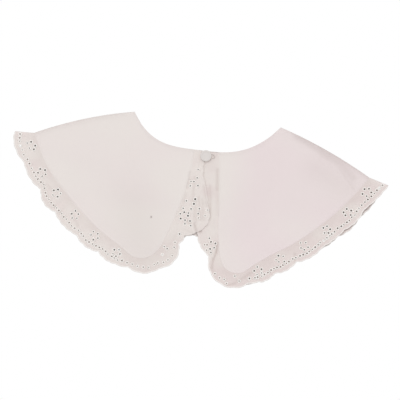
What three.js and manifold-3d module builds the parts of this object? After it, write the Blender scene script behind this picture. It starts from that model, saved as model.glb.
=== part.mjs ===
// A detachable collar of white cotton, laid flat: two front lobes on top, two back lobes under them, folded
// along both shoulders and buttoned at the throat, with a scalloped eyelet edging round every lobe.
// X runs to the right as the front is seen, Y towards the neck opening and Z up. Millimetres.
import * as THREE from "three";
import { mergeVertices } from "three/addons/utils/BufferGeometryUtils.js";
import Module from "manifold-3d";

const wasm = await Module();
wasm.setup();

// Neck opening and shoulder folds
const neckWidth = 147;
const leftNeckRise = 30;
const rightNeckRise = 32.3;
const leftNeckCurve = 3.9;
const rightNeckCurve = 2.8;
const leftFoldBow = 3.6;
const rightFoldBow = 2.9;
const leftTipSlope = 0.03;
const rightTipSlope = 0.27;

// Lobes of cloth: how far each reaches sideways past the neck corner, and down from the throat
const leftShoulder = 97.5;
const rightShoulder = 94.5;
const leftDepth = 114.3;
const rightDepth = 117.9;

// Cloth and edging
const clothThickness = 1.4;
const rimThickness = 2;
const rimWidth = 3.5;
const edgeTurn = 14;
const edgeTurnShare = 0.33;
const laceThickness = 1;
const laceWidth = 22;
const backLaceWidth = 20.5;
const backScallopLength = 24;
const backValley = 0.88;
const backLift = 0.4;
const backFootShare = 0.2;
const backGrowShare = 0.3;
const scallopFullness = 0.8;
const foldSwing = 44;
const eyeletRadius = 1;
const flowerRadius = 3.5;
const flowerPetals = 5;
const flowerOut = 7.2;
const flowerMargin = 3;
const flowerShare = 0.5;

// Space between the layers, for the neck that goes in, and where the front comes down to the back
const hollowHeight = 5.6;
const hollowPlateau = 20;
const settleLength = 70;
const lobeGap = 1.6;
const tipLoft = 0.6;
const neckTurn = 8;
const foldTurn = 12;
const lapRun = 6;
const lapClearance = 0.5;
const lapEnd = 0.26;
const lapFade = 0.08;
const pieceGap = 0.3;

// Button and its loop
const buttonDiameter = 11.4;
const buttonThickness = 2.2;
const buttonAside = 2.6;
const buttonBelowNeck = 4.8;
const shankDiameter = 2.4;
const loopThickness = 1;
const loopLength = 11;
const loopWidth = 5;

// Half section of the button: out as a share of its radius and high as a share of its thickness.
const buttonProfile = [
  { out: 0, high: 0 },
  { out: 0.7, high: 0 },
  { out: 0.92, high: 0.14 },
  { out: 1, high: 0.45 },
  { out: 0.97, high: 0.8 },
  { out: 0.88, high: 1 },
  { out: 0.76, high: 0.93 },
  { out: 0.68, high: 0.7 },
  { out: 0, high: 0.64 },
];

// Cloth edge of each lobe from the throat, down the front, round the bottom and up to the shoulder fold.
// across is a share of the lobe's reach and down a share of its depth.
const leftEdge = [
  { across: 0.05, down: 0 },
  { across: 0.062, down: 0.274 },
  { across: 0.099, down: 0.514 },
  { across: 0.146, down: 0.744 },
  { across: 0.193, down: 0.913 },
  { across: 0.254, down: 0.991 },
  { across: 0.333, down: 1 },
  { across: 0.415, down: 0.926 },
  { across: 0.591, down: 0.759 },
  { across: 0.815, down: 0.452 },
  { across: 0.906, down: 0.291 },
  { across: 1, down: 0.029 },
];
const rightEdge = [
  { across: 0.088, down: 0 },
  { across: 0.12, down: 0.4 },
  { across: 0.149, down: 0.737 },
  { across: 0.171, down: 0.879 },
  { across: 0.205, down: 0.965 },
  { across: 0.256, down: 1 },
  { across: 0.315, down: 0.99 },
  { across: 0.369, down: 0.927 },
  { across: 0.47, down: 0.817 },
  { across: 0.61, down: 0.682 },
  { across: 0.811, down: 0.416 },
  { across: 0.935, down: 0.198 },
  { across: 1, down: 0.059 },
];

// The back lobes meet in a seam at the centre, and part below its foot, where their edges start.
const leftBackEdge = [
  { across: 0.001, down: 0.72 },
  { across: 0.03, down: 0.722 },
  { across: 0.065, down: 0.74 },
  { across: 0.105, down: 0.785 },
  { across: 0.15, down: 0.855 },
  { across: 0.2, down: 0.91 },
  { across: 0.262, down: 0.935 },
  { across: 0.335, down: 0.93 },
  { across: 0.405, down: 0.875 },
  { across: 0.58, down: 0.73 },
  { across: 0.795, down: 0.435 },
  { across: 0.89, down: 0.275 },
  { across: 1, down: 0.029 },
];
const rightBackEdge = [
  { across: 0.001, down: 0.698 },
  { across: 0.028, down: 0.7 },
  { across: 0.065, down: 0.72 },
  { across: 0.11, down: 0.775 },
  { across: 0.15, down: 0.855 },
  { across: 0.195, down: 0.91 },
  { across: 0.255, down: 0.935 },
  { across: 0.315, down: 0.935 },
  { across: 0.37, down: 0.88 },
  { across: 0.47, down: 0.78 },
  { across: 0.605, down: 0.66 },
  { across: 0.819, down: 0.421 },
  { across: 0.935, down: 0.196 },
  { across: 1, down: 0.059 },
];

// Scallops of the front edgings. from is where one starts, as a share of the cloth edge's length, valley and
// crest are how far the lace stands out there, as shares of laceWidth, lift is how far the ruffle rises, and
// flowers is how many flowers of eyelets it holds.
const leftScallops = [
  { from: 0, valley: 0.41, crest: 0.5, lift: 0, flowers: 0 },
  { from: 0.082, valley: 0.56, crest: 0.92, lift: 0.2, flowers: 0 },
  { from: 0.165, valley: 1.2, crest: 1.45, lift: 0.4, flowers: 1 },
  { from: 0.28, valley: 0.73, crest: 0.76, lift: 0.4, flowers: 0 },
  { from: 0.314, valley: 0.66, crest: 0.89, lift: 0.9, flowers: 0 },
  { from: 0.392, valley: 0.68, crest: 0.69, lift: 0.4, flowers: 0 },
  { from: 0.458, valley: 0.53, crest: 0.87, lift: 0.7, flowers: 1 },
  { from: 0.56, valley: 0.8, crest: 0.99, lift: 0.5, flowers: 1 },
  { from: 0.644, valley: 0.89, crest: 1.04, lift: 0.8, flowers: 1 },
  { from: 0.745, valley: 0.92, crest: 1.08, lift: 0.5, flowers: 1 },
  { from: 0.83, valley: 0.81, crest: 0.95, lift: 0.7, flowers: 1 },
  { from: 0.91, valley: 0.89, crest: 1.1, lift: 0.3, flowers: 1 },
  { from: 1, valley: 0.87, crest: 0.87, lift: 0, flowers: 0 },
];
const rightScallops = [
  { from: 0, valley: 0.6, crest: 0.75, lift: 0, flowers: 0 },
  { from: 0.097, valley: 0.73, crest: 0.9, lift: 0.1, flowers: 0 },
  { from: 0.194, valley: 0.82, crest: 0.95, lift: 0.2, flowers: 0 },
  { from: 0.28, valley: 0.93, crest: 0.84, lift: 0.5, flowers: 1 },
  { from: 0.344, valley: 0.5, crest: 0.7, lift: 0.9, flowers: 0 },
  { from: 0.464, valley: 0.57, crest: 0.88, lift: 1, flowers: 1 },
  { from: 0.554, valley: 0.8, crest: 0.94, lift: 0.9, flowers: 1 },
  { from: 0.638, valley: 0.79, crest: 0.94, lift: 0.4, flowers: 1 },
  { from: 0.73, valley: 0.86, crest: 0.89, lift: 0.8, flowers: 1 },
  { from: 0.825, valley: 0.84, crest: 0.92, lift: 0.5, flowers: 1 },
  { from: 0.905, valley: 0.78, crest: 0.91, lift: 0.3, flowers: 1 },
  { from: 1, valley: 0.94, crest: 0.94, lift: 0, flowers: 0 },
];

// Soft folds and puffs of the front lobes: a line from one point to another, as shares of reach and depth,
// with its rise as a share of clothThickness and its spread as a share of edgeTurn.
const leftFolds = [
  { across: 0.07, down: 0.3, toAcross: 0.19, toDown: 0.84, rise: 0.35, spread: 0.6 },
  { across: 0.4, down: 0.86, toAcross: 0.85, toDown: 0.34, rise: 0.3, spread: 0.7 },
  { across: 0.56, down: 0.5, toAcross: 0.68, toDown: 0.38, rise: -0.4, spread: 1.2 },
];
const rightFolds = [
  { across: 0.512, down: -0.235, toAcross: 0.88, toDown: 0.14, rise: -0.7, spread: 0.5 },
  { across: 0.17, down: 0.16, toAcross: 0.2, toDown: 0.86, rise: 0.4, spread: 0.6 },
  { across: 0.34, down: 0.86, toAcross: 0.88, toDown: 0.24, rise: 0.3, spread: 0.7 },
];

// Steps of the meshes
const edgeSteps = 56;
const clothStride = 2;
const laceSteps = 3;
const frontShares = [0.3, 0.55, 0.8];
const backShares = [0.5];
const foldTurnShares = [0, 0, 0.13, 0.5, 1];
const foldEnd = 0.5;
const lastSteps = [0.6, 1.8, 3.6, 6.2];
const mostRimShare = 0.5;
const mostTurnShare = 0.2;
const spineSteps = 200;
const holeSides = 6;
const roundSides = 20;

const up = new THREE.Vector3(0, 0, 1);
const neckHalf = neckWidth / 2;
const leftReach = neckHalf + leftShoulder;
const rightReach = neckHalf + rightShoulder;
const backMiddle = clothThickness / 2;
const frontHigh = clothThickness + hollowHeight + clothThickness / 2;
const frontLow = clothThickness + lobeGap + clothThickness / 2;
const lapHeight = laceThickness + lapClearance;
const foldRadius = (frontHigh - backMiddle) / 2;

// From 0 at a to 1 at b, with level ends.
function ease(a, b, x) {
  const t = THREE.MathUtils.clamp((x - a) / (b - a), 0, 1);
  return t * t * (3 - 2 * t);
}

const left = {
  hand: -1, reach: leftReach, depth: leftDepth, rise: leftNeckRise, curve: leftNeckCurve, bow: leftFoldBow,
  tipSlope: leftTipSlope, edge: leftEdge, backEdge: leftBackEdge, folds: leftFolds,
  scallops: leftScallops,
};
const right = {
  hand: 1, reach: rightReach, depth: rightDepth, rise: rightNeckRise, curve: rightNeckCurve, bow: rightFoldBow,
  tipSlope: rightTipSlope, edge: rightEdge, backEdge: rightBackEdge, folds: rightFolds,
  scallops: rightScallops,
};

// The upper outline at a distance out from the centre: a power curve round the neck, then the bowed shoulder
// fold, and past the cloth the straight top of the edging.
function topEdge(side, out) {
  if (out < neckHalf) return side.rise * (Math.max(out, 0) / neckHalf) ** side.curve;
  const foot = -side.edge.at(-1).down * side.depth;
  if (out > side.reach) return foot - side.tipSlope * (out - side.reach);
  const t = (out - neckHalf) / (side.reach - neckHalf);
  return side.rise + (foot - side.rise) * t + 4 * side.bow * t * (1 - t);
}

// How much of a shoulder fold there is at a distance out: none round the neck, all of it from the neck corner.
const foldShare = (out) => ease(neckHalf - neckTurn, neckHalf, out);

// Height of a layer's middle: level, and turned down or up to the fold's line where the layers meet.
function turned(level, meeting, depthBelow, out) {
  const radius = Math.abs(level - meeting);
  const t = THREE.MathUtils.clamp(1 - depthBelow / radius, 0, 1);
  const curled = meeting + (level - meeting) * Math.sqrt(1 - t * t);
  return level + (curled - level) * foldShare(out);
}

function loft(side, out) {
  return 1 - (1 - tipLoft) * ease(neckHalf, side.reach, out);
}

// Height of the front layer's middle above the surface that the collar lies on.
function frontHeight(side, x, y) {
  const out = side.hand * x;
  const below = Math.max(topEdge(side, out) - y, 0);
  const high = frontLow + (frontHigh - frontLow) * loft(side, out);
  let level = high + (frontLow - high) * ease(hollowPlateau, hollowPlateau + settleLength, below);
  const here = new THREE.Vector2(out, y);
  for (const fold of side.folds) {
    const from = new THREE.Vector2(fold.across * side.reach, -fold.down * side.depth);
    const along = new THREE.Vector2(fold.toAcross * side.reach, -fold.toDown * side.depth).sub(from);
    const t = THREE.MathUtils.clamp(here.clone().sub(from).dot(along) / along.lengthSq(), 0, 1);
    const away = here.distanceTo(from.addScaledVector(along, t)) / (fold.spread * edgeTurn);
    level += fold.rise * clothThickness * Math.exp(-away * away);
  }
  const meeting = (backMiddle + high) / 2 + pieceGap / 2;
  return turned(level, meeting, below, out);
}

function backHeight(side, x, y, level) {
  const out = side.hand * x;
  const below = Math.max(topEdge(side, out) - y, 0);
  const high = frontLow + (frontHigh - frontLow) * loft(side, out);
  const meeting = (backMiddle + high) / 2 - pieceGap / 2;
  return turned(level, meeting, below, out);
}

// Points along the cloth edge, evenly spaced but for the last few, which follow the turn of the fold.
function edgePoints(side, table) {
  const points = table.map(
    (row) => new THREE.Vector3(side.hand * row.across * side.reach, -row.down * side.depth, 0),
  );
  const curve = new THREE.CatmullRomCurve3(points, false, "centripetal");
  const length = curve.getLength();
  const shares = [];
  const lastShare = 1 - lastSteps.at(-1) / length;
  for (let i = 0; i <= edgeSteps; i++) shares.push((lastShare * i) / edgeSteps);
  for (const step of lastSteps.slice(0, -1).reverse()) shares.push(1 - step / length);
  shares.push(1);
  return shares.map((share) => {
    const tangent = curve.getTangentAt(share);
    const outward = new THREE.Vector3(-tangent.y, tangent.x, 0).multiplyScalar(-side.hand);
    return { share, point: curve.getPointAt(share), outward, length };
  });
}

// Points along the neck edge and the shoulder fold, at shares of their length.
function spinePoints(side, startOut, shares) {
  const fine = [];
  const count = spineSteps;
  for (let i = 0; i <= count; i++) {
    const out = startOut + ((side.reach - startOut) * i) / count;
    fine.push(new THREE.Vector3(side.hand * out, topEdge(side, out), 0));
  }
  const lengths = [0];
  for (let i = 1; i <= count; i++) lengths.push(lengths[i - 1] + fine[i].distanceTo(fine[i - 1]));
  return shares.map((share) => {
    const goal = share * lengths[count];
    const i = Math.min(Math.max(lengths.findIndex((l) => l >= goal), 1), count);
    const t = (goal - lengths[i - 1]) / (lengths[i] - lengths[i - 1]);
    return fine[i - 1].clone().lerp(fine[i], t);
  });
}

// A closed sheet: rows of middle points, each moved out by half its thickness on both sides.
function sheetGeometry(rows) {
  const across = new THREE.Vector3();
  const along = new THREE.Vector3();
  let turn = 0;
  const normals = rows.map((row, i) =>
    row.map((middle, j) => {
      const before = rows[Math.max(i - 1, 0)][j].point;
      const after = rows[Math.min(i + 1, rows.length - 1)][j].point;
      along.subVectors(after, before);
      across.subVectors(row[Math.min(j + 1, row.length - 1)].point, row[Math.max(j - 1, 0)].point);
      const normal = new THREE.Vector3().crossVectors(along, across);
      turn += normal.z;
      return normal.lengthSq() < 1e-9 ? null : normal.normalize();
    }),
  );
  const flip = turn < 0 ? -1 : 1;
  const positions = [];
  const index = [];
  const width = rows[0].length;
  const count = rows.length * width;
  for (const face of [1, -1]) {
    rows.forEach((row, i) =>
      row.forEach((middle, j) => {
        const found = normals[i][j] ?? normals[i][j + 1] ?? up;
        const normal = found === up ? up : found.clone().multiplyScalar(flip);
        const p = middle.point.clone().addScaledVector(normal, (face * middle.thickness) / 2);
        positions.push(p.x, p.y, p.z);
      }),
    );
  }
  const quad = (a, b, c, d) => {
    if (flip > 0) index.push(a, b, c, a, c, d);
    else index.push(a, c, b, a, d, c);
  };
  const at = (i, j) => i * width + j;
  for (let i = 0; i + 1 < rows.length; i++) {
    for (let j = 0; j + 1 < width; j++) {
      quad(at(i, j), at(i + 1, j), at(i + 1, j + 1), at(i, j + 1));
      quad(count + at(i, j), count + at(i, j + 1), count + at(i + 1, j + 1), count + at(i + 1, j));
    }
    const last = width - 1;
    quad(at(i, 0), count + at(i, 0), count + at(i + 1, 0), at(i + 1, 0));
    quad(at(i + 1, last), count + at(i + 1, last), count + at(i, last), at(i, last));
  }
  const end = rows.length - 1;
  for (let j = 0; j + 1 < width; j++) {
    quad(at(0, j + 1), count + at(0, j + 1), count + at(0, j), at(0, j));
    quad(at(end, j), count + at(end, j), count + at(end, j + 1), at(end, j + 1));
  }
  const geometry = new THREE.BufferGeometry();
  geometry.setAttribute("position", new THREE.BufferAttribute(new Float32Array(positions), 3));
  geometry.setIndex(index);
  return welded(geometry);
}

// Shared vertices merged, and the faces that closed to a line left out.
function welded(geometry) {
  geometry.deleteAttribute("normal");
  geometry.deleteAttribute("uv");
  const merged = mergeVertices(geometry, 1e-3);
  const kept = [];
  for (let i = 0; i < merged.index.count; i += 3) {
    const [a, b, c] = [0, 1, 2].map((k) => merged.index.getX(i + k));
    if (a !== b && b !== c && c !== a) kept.push(a, b, c);
  }
  merged.setIndex(kept);
  return merged;
}

function solidOf(geometry) {
  return new wasm.Manifold(
    new wasm.Mesh({
      numProp: 3,
      vertProperties: geometry.attributes.position.array,
      triVerts: new Uint32Array(geometry.index.array),
    }),
  );
}

function geometryOf(solid) {
  const mesh = solid.getMesh();
  const geometry = new THREE.BufferGeometry();
  geometry.setAttribute("position", new THREE.BufferAttribute(new Float32Array(mesh.vertProperties), 3));
  geometry.setIndex(Array.from(mesh.triVerts));
  geometry.computeVertexNormals();
  return geometry;
}

// One lobe of cloth. Each ruling leaves the neck edge or the fold and bends to meet the cloth edge squarely.
// At the fold the cloth stands upright, pointing towards the other layer, and it stops just short of the corner.
function panelGeometry(side, edge, towards, height) {
  const stations = edge.slice(0, -2).filter((row, i) => i % clothStride === 0 || i >= edgeSteps);
  const front = towards < 0;
  const startOut = side.hand * stations[0].point.x;
  const spine = spinePoints(side, startOut, stations.map((row) => row.share));
  const rows = stations.map((row, i) => {
    const from = spine[i];
    const span = from.distanceTo(row.point);
    const bend = row.point.clone().addScaledVector(row.outward, -Math.min(edgeTurn, span * edgeTurnShare));
    const rim = 1 - Math.min(rimWidth / Math.max(span, rimWidth), mostRimShare) / 2;
    const turns = foldTurnShares.map((t) => Math.min((foldRadius * t) / Math.max(span, foldTurn), mostTurnShare));
    const shares = front ? [...turns, ...frontShares, rim, 1] : [...turns, ...backShares, 1];
    return shares.map((v, j) => {
      const point = from.clone().multiplyScalar((1 - v) ** 2);
      point.addScaledVector(bend, 2 * v * (1 - v)).addScaledVector(row.point, v * v);
      point.z = height(point.x, point.y);
      if (j === 1) point.z -= towards * foldEnd * foldShare(side.hand * point.x);
      return { point, thickness: front && v >= rim ? rimThickness : clothThickness };
    });
  });
  return sheetGeometry(rows);
}

// How far the lace stands out at a share of the cloth edge, and how high its ruffle rises there.
function scallopAt(scallops, share) {
  const i = Math.min(scallops.findLastIndex((row) => row.from <= share), scallops.length - 2);
  const [row, next] = [scallops[i], scallops[i + 1]];
  const t = (share - row.from) / (next.from - row.from);
  const base = THREE.MathUtils.lerp(row.valley, next.valley, t);
  const swell = Math.sin(Math.PI * t) ** scallopFullness;
  return { reach: base + (row.crest - (row.valley + next.valley) / 2) * swell, lift: row.lift * swell };
}

// The direction that the lace takes from the cloth edge: square to it, and along the fold at the end.
function laceDirection(side, row) {
  const alongFold = new THREE.Vector3(side.hand, -side.tipSlope, 0).normalize();
  const t = ease(1 - foldSwing / row.length, 1, row.share);
  return row.outward.clone().lerp(alongFold, t).normalize();
}

// The edging: rulings from the cloth edge outwards. Its last two lie on the fold's line, one above the other.
function laceGeometry(side, edge, width, scallops, towards, height) {
  const rows = [...edge.slice(0, -1), { ...edge.at(-1), raised: true }, edge.at(-1)].map((row) => {
    const direction = laceDirection(side, row);
    const { reach, lift } = scallopAt(scallops, row.share);
    const cells = [];
    for (let j = 0; j <= laceSteps; j++) {
      const w = j / laceSteps;
      const point = row.point.clone().addScaledVector(direction, pieceGap + w * (reach * width - pieceGap));
      point.z = height(point.x, point.y, w, lift, row.share, w * reach * width);
      if (row.raised) point.z -= towards * foldEnd;
      cells.push({ point, thickness: laceThickness });
    }
    return cells;
  });
  return sheetGeometry(rows);
}

// Flowers of eyelets cut through a front edging, in the scallops that hold one and are wide enough for it.
function pierced(geometry, side, edge, scallops) {
  let solid = solidOf(geometry);
  const hole = new THREE.CylinderGeometry(eyeletRadius, eyeletRadius, 4 * frontHigh, holeSides);
  hole.rotateX(Math.PI / 2);
  for (let i = 0; i + 1 < scallops.length; i++) {
    const share = scallops[i].from + flowerShare * (scallops[i + 1].from - scallops[i].from);
    const { reach } = scallopAt(scallops, share);
    if (!scallops[i].flowers || reach * laceWidth < flowerOut + flowerRadius + flowerMargin) continue;
    const row = edge.reduce((a, b) => (Math.abs(a.share - share) < Math.abs(b.share - share) ? a : b));
    const centre = row.point.clone().addScaledVector(laceDirection(side, row), flowerOut);
    for (let k = 0; k < flowerPetals; k++) {
      const angle = (2 * Math.PI * k) / flowerPetals + i;
      const cutter = hole.clone().translate(
        centre.x + flowerRadius * Math.cos(angle),
        centre.y + flowerRadius * Math.sin(angle),
        frontHigh,
      );
      solid = solid.subtract(solidOf(welded(cutter)));
    }
  }
  return geometryOf(solid);
}

// Even scallops for the edging of a back lobe, half a scallop at each end, narrow at the foot of the centre seam.
function evenScallops(length) {
  const count = Math.round(length / backScallopLength);
  const rows = [];
  for (let i = 0; i <= count + 1; i++) {
    const from = THREE.MathUtils.clamp((i - 0.5) / count, 0, 1);
    const grown = backFootShare + (1 - backFootShare) * ease(0, backGrowShare, from);
    rows.push({ from, valley: backValley * grown, crest: grown, lift: backLift });
  }
  return rows;
}

const cloth = new THREE.MeshStandardMaterial({ color: 0xe9dfdc, roughness: 0.9, metalness: 0 });
const lace = new THREE.MeshStandardMaterial({ color: 0xe0d7d3, roughness: 0.92, metalness: 0 });
const shell = new THREE.MeshStandardMaterial({ color: 0xd6d1ce, roughness: 0.35, metalness: 0 });
const thread = new THREE.MeshStandardMaterial({ color: 0xd2cac6, roughness: 0.85, metalness: 0 });

const laid = new THREE.Group();

function addMesh(name, geometry, material) {
  geometry.computeVertexNormals();
  const mesh = new THREE.Mesh(geometry, material);
  mesh.name = name;
  laid.add(mesh);
  return mesh;
}

function addFront(name, side, lap) {
  const edge = edgePoints(side, side.edge);
  const panel = panelGeometry(side, edge, -1, (x, y) => frontHeight(side, x, y));
  addMesh(name + "_front_panel", panel, cloth);
  const height = (x, y, w, lift, share, out) => {
    const lapped = lap * ease(0, lapRun, out) * (1 - ease(lapEnd, lapEnd + lapFade, share));
    return frontHeight(side, x, y) + lapped + lift * laceThickness * w * foldFade(side, x, y);
  };
  const strip = laceGeometry(side, edge, laceWidth, side.scallops, -1, height);
  addMesh(name + "_front_lace", pierced(strip, side, edge, side.scallops), lace);
}

// Ruffles lie flat where the edging turns over the shoulder fold.
function foldFade(side, x, y) {
  return ease(foldTurn / 2, 2 * foldTurn, topEdge(side, side.hand * x) - y);
}

// The lobe's edge starts at the foot of the seam, and its first ruling is the seam itself.
function addBack(name, side) {
  const edge = edgePoints(side, side.backEdge);
  edge[0].outward.set(0, -1, 0);
  const panel = panelGeometry(side, edge, 1, (x, y) => backHeight(side, x, y, backMiddle));
  addMesh(name + "_back_panel", panel, cloth);
  const height = (x, y, w, lift) =>
    backHeight(side, x, y, laceThickness / 2 + lift * laceThickness * w * w * foldFade(side, x, y));
  const stations = edge.filter((row, i) => i % clothStride === 0 || i >= edgeSteps);
  const scallops = evenScallops(edge[0].length);
  addMesh(name + "_back_lace", laceGeometry(side, stations, backLaceWidth, scallops, 1, height), lace);
}

// The button: a shallow dish with a rounded rim, on a shank of thread, held by a loop under its rim.
function addButton() {
  const laceTop = frontHigh + lapHeight + laceThickness / 2;
  const place = new THREE.Vector3(buttonAside, -buttonBelowNeck, laceTop + pieceGap);
  const shankHeight = loopThickness;
  const shank = new THREE.CylinderGeometry(shankDiameter / 2, shankDiameter / 2, shankHeight, roundSides);
  shank.rotateX(Math.PI / 2).translate(place.x, place.y, place.z + shankHeight / 2);
  addMesh("button_shank", shank, thread);

  const loop = new THREE.TorusGeometry(0.5, loopThickness / 2 / loopWidth, holeSides, roundSides);
  loop.scale(loopLength, loopWidth, loopWidth);
  const loopMiddle = place.x + loopLength / 2 - shankDiameter;
  loop.translate(loopMiddle, place.y, place.z + loopThickness / 2);
  addMesh("button_loop", loop, thread);

  const radius = buttonDiameter / 2;
  const base = place.z + shankHeight + pieceGap;
  const profile = buttonProfile.map((row) => new THREE.Vector2(row.out * radius, row.high * buttonThickness));
  const button = new THREE.LatheGeometry(profile, roundSides);
  button.rotateX(Math.PI / 2).translate(place.x, place.y, base);
  addMesh("button", button, shell);
}

addFront("left", left, lapHeight);
addFront("right", right, 0);
addBack("left", left);
addBack("right", right);
addButton();

// The origin is under the middle of the collar, on the surface that it lies on.
const box = new THREE.Box3().setFromObject(laid, true);
const middle = box.getCenter(new THREE.Vector3());
laid.position.set(-middle.x, -middle.y, -box.min.z);

const collar = new THREE.Group();
collar.add(laid);

export default collar;
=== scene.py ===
import math
from types import SimpleNamespace

import bpy
import numpy as np
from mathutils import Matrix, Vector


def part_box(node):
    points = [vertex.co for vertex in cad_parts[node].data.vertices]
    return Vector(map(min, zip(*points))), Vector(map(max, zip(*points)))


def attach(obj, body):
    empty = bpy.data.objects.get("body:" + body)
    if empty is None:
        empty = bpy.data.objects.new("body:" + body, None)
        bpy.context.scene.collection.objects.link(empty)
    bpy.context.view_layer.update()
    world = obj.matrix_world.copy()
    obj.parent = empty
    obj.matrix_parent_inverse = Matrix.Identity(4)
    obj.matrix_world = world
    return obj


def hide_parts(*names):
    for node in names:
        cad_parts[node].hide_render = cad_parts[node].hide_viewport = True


# Looks of a detachable cotton collar that lies flat: two cloth lobes in front and two behind, folded along
# the shoulders, with an eyelet edging round every lobe and a button at the throat.
# Plan lengths are in millimetres from the middle of the neck edge at the throat: x to the right, y towards
# the neck opening and z up. They are turned to metres when a mesh is made.

bl_info = {
    "name": "Detachable collar",
    "version": (1, 0, 0),
    "blender": (4, 5, 0),
    "location": "3D View > Sidebar > Collar",
    "description": "Cloth, eyelet edging, button and studio of a detachable cotton collar",
    "category": "Object",
}

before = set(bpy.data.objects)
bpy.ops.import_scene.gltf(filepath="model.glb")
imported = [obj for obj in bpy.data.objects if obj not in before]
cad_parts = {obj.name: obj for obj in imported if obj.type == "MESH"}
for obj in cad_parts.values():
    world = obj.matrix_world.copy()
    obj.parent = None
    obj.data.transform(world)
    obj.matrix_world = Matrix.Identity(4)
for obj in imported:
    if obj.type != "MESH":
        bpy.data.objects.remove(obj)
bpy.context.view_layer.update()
MM = 0.001

# What the camera looks at, in millimetres of the plan, and its height in metres.
VIEW_CENTRE = np.array([2.17, -49.39])
CAMERA_HEIGHT = 1.2
# Linear tint of the sky, and in degrees how broad the window's light is and how it is turned.
SKY_TINT = (0.995, 0.999, 1.0, 1)
WINDOW_BREADTH = 12
WINDOW_TURN = (-16, -5, 0)

# Every wall stays this many millimetres above zero, and the floor lies this many metres below it.
FLOOR_GAP = 0.05
FLOOR_LEVEL = -0.0002

# The lie of the collar, as its solids have it: the thickness of its layers, the hollow that they enclose at
# the neck and the folds, and how far and how fast the front layer settles on the back one.
NECK_WIDTH = 147.0
CLOTH = 1.4
HOLLOW = 5.6
HOLLOW_PLATEAU = 20.0
SETTLE = 70.0
LOBE_GAP = 1.6
TIP_LOFT = 0.6
NECK_HALF = NECK_WIDTH / 2
BACK_MIDDLE = CLOTH / 2
FRONT_HIGH = CLOTH + HOLLOW + CLOTH / 2
FRONT_LOW = CLOTH + LOBE_GAP + CLOTH / 2
FOLD_RADIUS = (FRONT_HIGH - BACK_MIDDLE) / 2

# How far in from the neck edge, the fold and the cloth edge the layers turn, and the swing of the edgings
# along the fold.
NECK_TURN = 8.0
FOLD_TURN = 12.0
EDGE_TURN = 14.0
EDGE_TURN_SHARE = 0.33
FOLD_SWING = 44.0

# Stations along and columns across the lobes' grids, and the gap that they leave at the fold's end. Columns
# stand closer together round the fold's turn, and over the hem at these distances in from the cloth edge.
LOBE_GRIDS = {"front": (330, 110), "back": (150, 40)}
FOLD_GAP = 0.5
TURN_COLUMNS = 8
TURN_REACH = 1.15
HEM_COLUMNS = (6.0, 4.8, 3.8, 3.0, 2.3, 1.7, 1.1, 0.6, 0.2, 0.0)

# Long gentle waves of the front layer and the puckers at its edge, and as rise, place and spread the puff
# over its hem, the roll of the neck edge and the stitches under it. The back layer lifts at its seam's foot.
WAVE_RISE = 0.22
WAVE_LENGTH = 46.0
PUCKER_RISE = 0.16
PUCKER_LENGTH = 16
PUCKER_FADE = 7
HEM_PUFF = (0.2, 4.0, 3.0)
NECK_ROLL = (0.15, 1.5, 1.3)
NECK_STITCHES = (-0.06, 3.4, 0.9)
FOOT_LIFT = 1.5
FOOT_START, FOOT_END = -60, -82
FOOT_SPREAD = 14

# Even scallops of the back edgings, the fullness of every scallop and the small picots along it.
BACK_SCALLOP = 24.0
BACK_VALLEY = 0.88
BACK_LIFT = 1.0
BACK_FOOT_SHARE = 0.2
BACK_GROW_SHARE = 0.3
SCALLOP_FULLNESS = 0.8
PICOT_RISE = 0.7
PICOT_LENGTH = 7.6

# The edgings' grid spacing, how far they are tucked in and dip at their seam, and their gathers: low beside
# the throat and higher from there on. The left edging laps over the right one at the throat.
FRONT_STEP = 0.62
BACK_STEP = 0.8
TUCK = 0.9
SEAM_DIP = 0.1
BACK_LACE_LEVEL = 0.5
GATHER_LOW, GATHER_GROWTH, GATHER_LENGTH = 0.06, 0.16, 9
LAP_RUN = 6.0
LAP_HEIGHT = 1.1
LAP_END = 0.26
LAP_FADE = 0.08

# Eyelets: an arc follows the edge of its scallop, and a flower is a ring of them. They stray a little from
# their places, and their holes differ in size. Those over the floor are left uncut, with a dot of painted
# shade.
ARC, BOTH, FLOWER = 1, 2, 3
ARC_SPACING = 3.6
ARC_INSET = 5.6
ARC_BOW = 0.8
ARC_ROOM = 2.6
FLOWER_OUT = 7.0
FLOWER_ROOM = 13.5
FLOWER_EYELETS = 5
STRAY_ALONG, STRAY_OUT = 0.3, 0.35
HOLE_SIZES = (0.65, 0.8, 0.95, 1.0)
THROAT_SCALE = 1.1
FOOT_ROOM, FOLD_ROOM = 2.5, 1.5
DOT_SPREAD, PAINTED_DOT_SHADE = 0.85, 0.95

# The rims of the eyelets and the cord of the scallops: how far a rim sinks in and how far apart the cord's
# rings lie are in millimetres, and the rest in radii of their threads.
RIM_SINK = 0.05
RIM_OUTSET = 0.75
RIM_RISE = 1.2
CORD_STEP = 0.9
CORD_INSET = 1.3
CORD_FLATNESS = 0.8

# Painted shade: how strong it is, and over how many millimetres it fades from an edge. The last colour is
# that of the real fleck and of the painted shade dotted into eyelets left uncut.
HEM_SHADE, NECK_SHADE, EDGE_FADE = 0.03, 0.15, 1.2
FOLD_SHADE_FADE = 2
BACK_CLOTH_SHADE = 0.2
SEAM_SHADE, SEAM_FADE = 0.12, 6.5
BACK_LACE_SHADE = 0.1
STAIN_AND_HOLE_SHADE_COLOUR = "#6f5a52"

# The second tone comes in over these millimetres from the throat on the cloth, and over these shares of its
# length on an edging, and drifts by this much.
CLOTH_CAST_RUN, CLOTH_DRIFT = (16, 62), 0.12
LACE_CAST_RUN, LACE_DRIFT = (0.26, 0.45), 0.3

# Spacing of the satin stitches and of the twisted plies, in millimetres.
STITCH_SPACING = 0.35
PLY_SPACING = 0.6

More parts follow.
